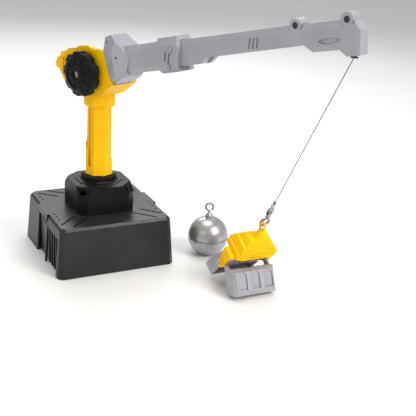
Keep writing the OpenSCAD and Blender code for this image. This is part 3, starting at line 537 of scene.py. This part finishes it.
# ---------------------------------------------------------------- grab eye
parts = []
prof = round_profile([(0.02, 42.54), (4.3, 42.56), (4.1, 43.6), (2.9, 46.0), (2.2, 50.0), (1.9, 54.6), (1.2, 55.2), (0.02, 55.3)], [0, 0.3, 0.5, 2, 2, 0.6, 0.4, 0], 5)
parts.append(lathe(densify(prof, 0.6), 48))
path = [(4.6 * math.cos(2 * math.pi * i / 72), 0.0, 59.15 + 4.6 * math.sin(2 * math.pi * i / 72)) for i in range(72)]
parts.append(tube(path, 1.3, sides=18, closed=True))
parts.append(lathe([(0.02, 33.0), (2.9, 33.0), (3.1, 33.3), (3.1, 34.2), (1.55, 34.4), (1.55, 42.6), (0.02, 42.6)], 24))
v, f = join_parts(parts)
o = add_mesh("grab_eye_moulded", place(v, GRAB, GRAB_O), f, YELLOW, angle=50)
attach(o, "grab")
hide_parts("grab_eye")

# ---------------------------------------------------------------- winding knob
KR = 25.5
NK = 432


def knob_warp(r, z, a):
    """9 lobes round the rim, and 9 radial slots pressed in the cone. z runs outward from the head."""
    p = (math.degrees(a) / 40.0) % 1.0
    # trapezoid lobes: crest between 0.2 and 0.72, valley elsewhere
    if p < 0.08:
        q = 0.0
    elif p < 0.2:
        q = (p - 0.08) / 0.12
    elif p < 0.72:
        q = 1.0
    elif p < 0.84:
        q = 1 - (p - 0.72) / 0.12
    else:
        q = 0.0
    q = smooth01(q)
    if r > 21.0:
        w = smooth01((r - 21.0) / 3.0)
        r = r - (1 - q) * 1.9 * w
    # slots
    s = (math.degrees(a) - 18.5) % 40.0
    s = min(s, 40.0 - s)
    dist = r * math.sin(math.radians(s))
    if s < 20 and 11.3 < r < 23.4 and z > 34.4:
        rr = smooth01((r - 11.3) / 0.7) * smooth01((23.2 - r) / 0.8)
        z = z - 0.85 * rr * (1 - smooth01((dist - 0.6) / 0.5))
    return (r, z)


prof = round_profile([(7.4, 25.4), (7.4, 24.7), (22.0, 24.7), (25.5, 24.7), (25.5, 33.1), (24.7, 34.0), (23.2, 34.05), (17.2, 37.5), (15.2, 37.55), (14.2, 36.7), (11.2, 36.75), (10.4, 37.6),
                      (9.5, 39.05), (5.6, 39.1), (4.1, 38.8), (4.1, 35.3), (0.02, 35.3)],
                     [0, 0.3, 0.5, 0.9, 1.1, 0.6, 0.7, 0.9, 0.5, 0.5, 0.5, 0.4, 0.7, 0.4, 0.4, 0.2, 0], 5)
vv, ff = lathe(densify(prof, 0.32), NK, knob_warp)
# lathe axis is +Z; the knob's axis is the head's -Y
pts = [(x, -z, y) for x, y, z in vv]
ks = place([(x, y, z) for x, y, z in pts], HEAD, WINCH_O)
knob = add_mesh("winding_knob_moulded", ks, ff, BLACK, angle=35)
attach(knob, "winch")
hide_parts("winding_knob")

# ---------------------------------------------------------------- wrecking ball
BR = 25.0
prof = [(0.02, -BR + 0.6)]
a_foot = math.degrees(math.asin((BR - 0.6) / BR))
angs = list(np.linspace(-a_foot, -3.2, 54)) + [-2.9, -2.6, -1.9, -1.5, -1.0, 0.0] + [0.4, 0.8, 1.3, 2.0, 2.6] + list(np.linspace(3.2, 79.0, 52))
for a in angs:
    r = BR
    if -2.6 <= a <= -0.2:
        r = BR - 1.1
    elif -2.95 < a < -2.6 or -0.2 < a < 0.6:
        r = BR - 0.35
    prof.append((r * math.cos(math.radians(a)), r * math.sin(math.radians(a))))
prof += round_profile([(4.75, 24.55), (4.72, 27.4), (3.4, 28.9), (1.95, 30.7), (1.5, 30.9)], [0, 0.5, 0.8, 0.6, 0], 4)
vb, fb = lathe(prof, 160)
o = add_mesh("ball_shell", place(vb, np.eye(3), BALL_O), fb, BALLM, angle=30)
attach(o, "ball")
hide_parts("ball_upper", "ball_lower", "ball_cap")

parts = []
R28 = rz(-28)
path, rad = [], []
for i in range(101):
    t = i / 100
    a = math.radians(-60 + 330 * t)
    path.append((4.6 * math.cos(a), 0.0, 38.0 + 4.6 * math.sin(a)))
    rad.append(1.3 * (0.6 + 0.4 * smooth01(t * 330 / 24.0)))
parts.append(tube(path, rad, sides=18))
parts.append(tube([(0, 0, 27.5), (0, 0, 29.5), (0, 0, 31.5), (0, 0, 33.3)], [1.5, 1.5, 1.5, 1.35], sides=24))
v, f = join_parts(parts)
o = add_mesh("ball_hook_wire", place(v, R28, BALL_O), f, HOOKM, angle=50)
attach(o, "ball")
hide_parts("ball_hook")

# ---------------------------------------------------------------- floor, light
bpy.ops.mesh.primitive_plane_add(size=6.0, location=(0.05, 0.3, 0.0))
floor = bpy.context.active_object
floor.name = "floor"
fm, nt, bs = new_mat("floor_pale")
tc = nt.nodes.new("ShaderNodeTexCoord")
nt.links.new(mix(nt, ramp(nt, noise(nt, tc.outputs["Object"], 3.0, 2.0), 0.3, 0.7), (0.8, 0.79, 0.775), (0.83, 0.825, 0.815)), bs.inputs["Base Color"])
bs.inputs["Roughness"].default_value = 0.62
floor.data.materials.append(fm)

world = bpy.data.worlds.new("studio")
scene.world = world
world.use_nodes = True
bg = world.node_tree.nodes["Background"]
bg.inputs[0].default_value = (1.0, 1.0, 1.0, 1)
bg.inputs[1].default_value = 0.52


def area(name, loc, target, size, power, color=(1, 1, 1)):
    l = bpy.data.lights.new(name, "AREA")
    l.shape = "RECTANGLE"
    l.size, l.size_y = size
    l.energy = power
    l.color = color
    o = bpy.data.objects.new(name, l)
    scene.collection.objects.link(o)
    o.location = loc
    o.rotation_euler = (Vector(target) - Vector(loc)).to_track_quat("-Z", "Y").to_euler()
    return o


C = (0.05, -0.08, 0.15)
area("key", (0.72, -1.3, 1.2), C, (0.75, 0.7), 20.0, (1.0, 0.985, 0.96))
area("fill", (-1.2, -0.8, 0.9), C, (0.9, 0.9), 2.0, (0.97, 0.98, 1.0))
area("top", (0.0, 0.1, 1.6), C, (1.2, 1.0), 12.0)
area("back", (0.5, 1.3, 1.0), C, (1.2, 0.6), 9.0)
